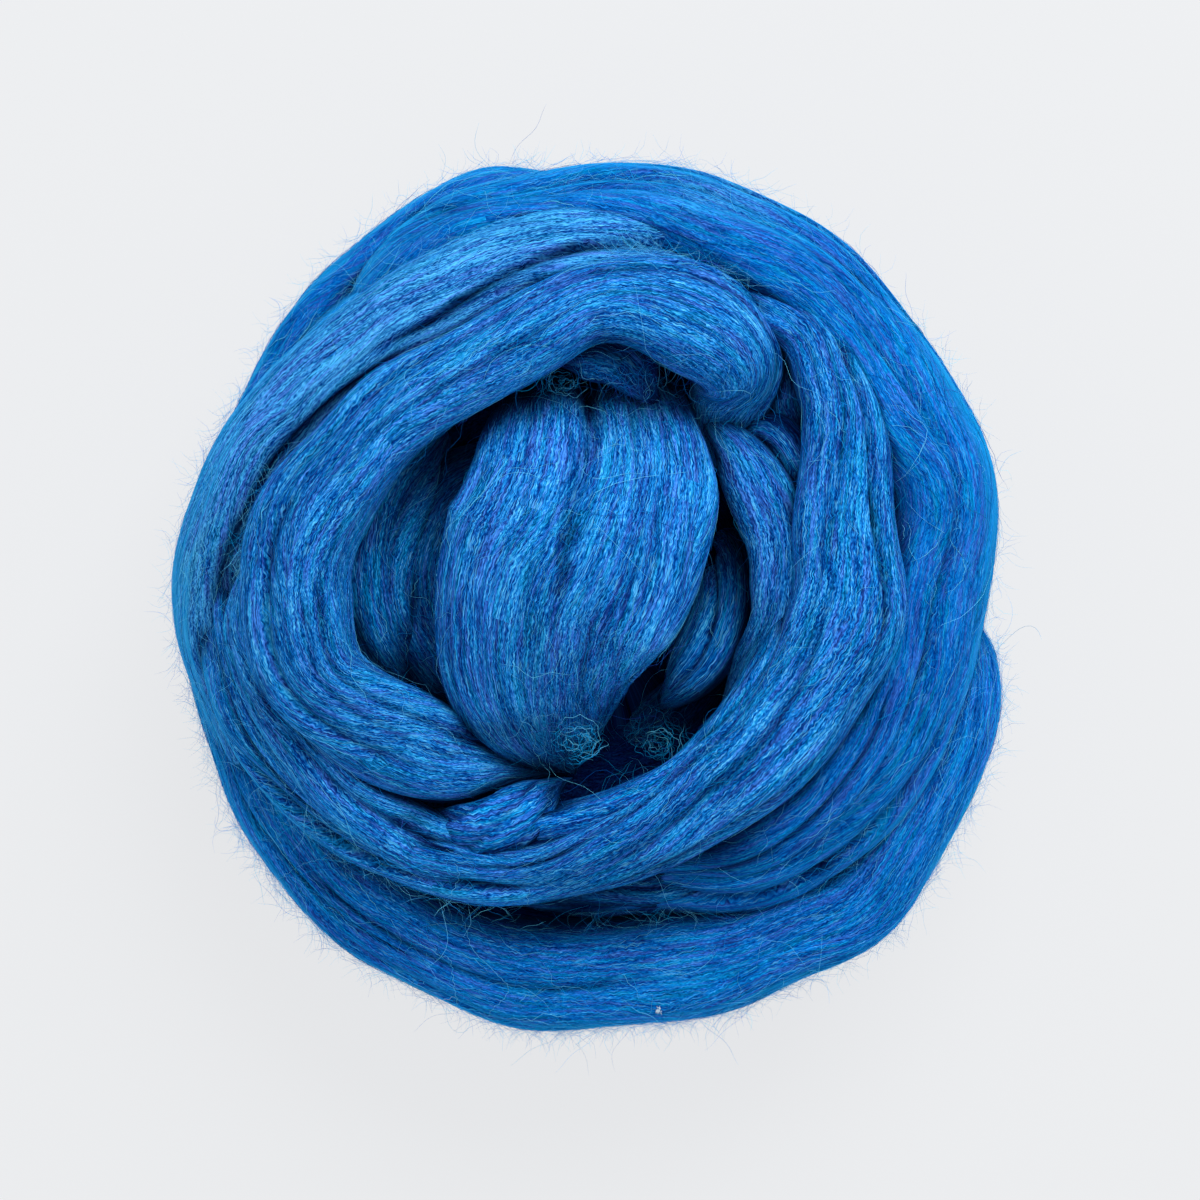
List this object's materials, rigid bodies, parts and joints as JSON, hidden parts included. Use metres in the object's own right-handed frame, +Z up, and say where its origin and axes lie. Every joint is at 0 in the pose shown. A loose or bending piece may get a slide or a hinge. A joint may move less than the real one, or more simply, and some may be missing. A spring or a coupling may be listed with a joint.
{
  "type": "ball of wool roving",
  "caption": "Soft round ball wound from thick combed wool roving, hollow in the middle, with its loose end folded over the hollow and tucked in.",
  "frame": {"origin": "middle of the ball's box, on the surface that its flat spot rests on", "axes": "+Z up through the hollow, +X to the picture's right, +Y to the picture's top"},
  "size_m": [0.1772, 0.1794, 0.0915],
  "materials": {
    "wound_wool": "soft, dull, lengthwise combed fibres in royal blue with teal and violet ones",
    "end_wool": "soft, dull, lengthwise combed fibres in royal blue with teal and violet ones"
  },
  "bodies": {
    "root": {"wound_turns": "wound_wool", "tucked_end": "end_wool"}
  },
  "joints": []
}
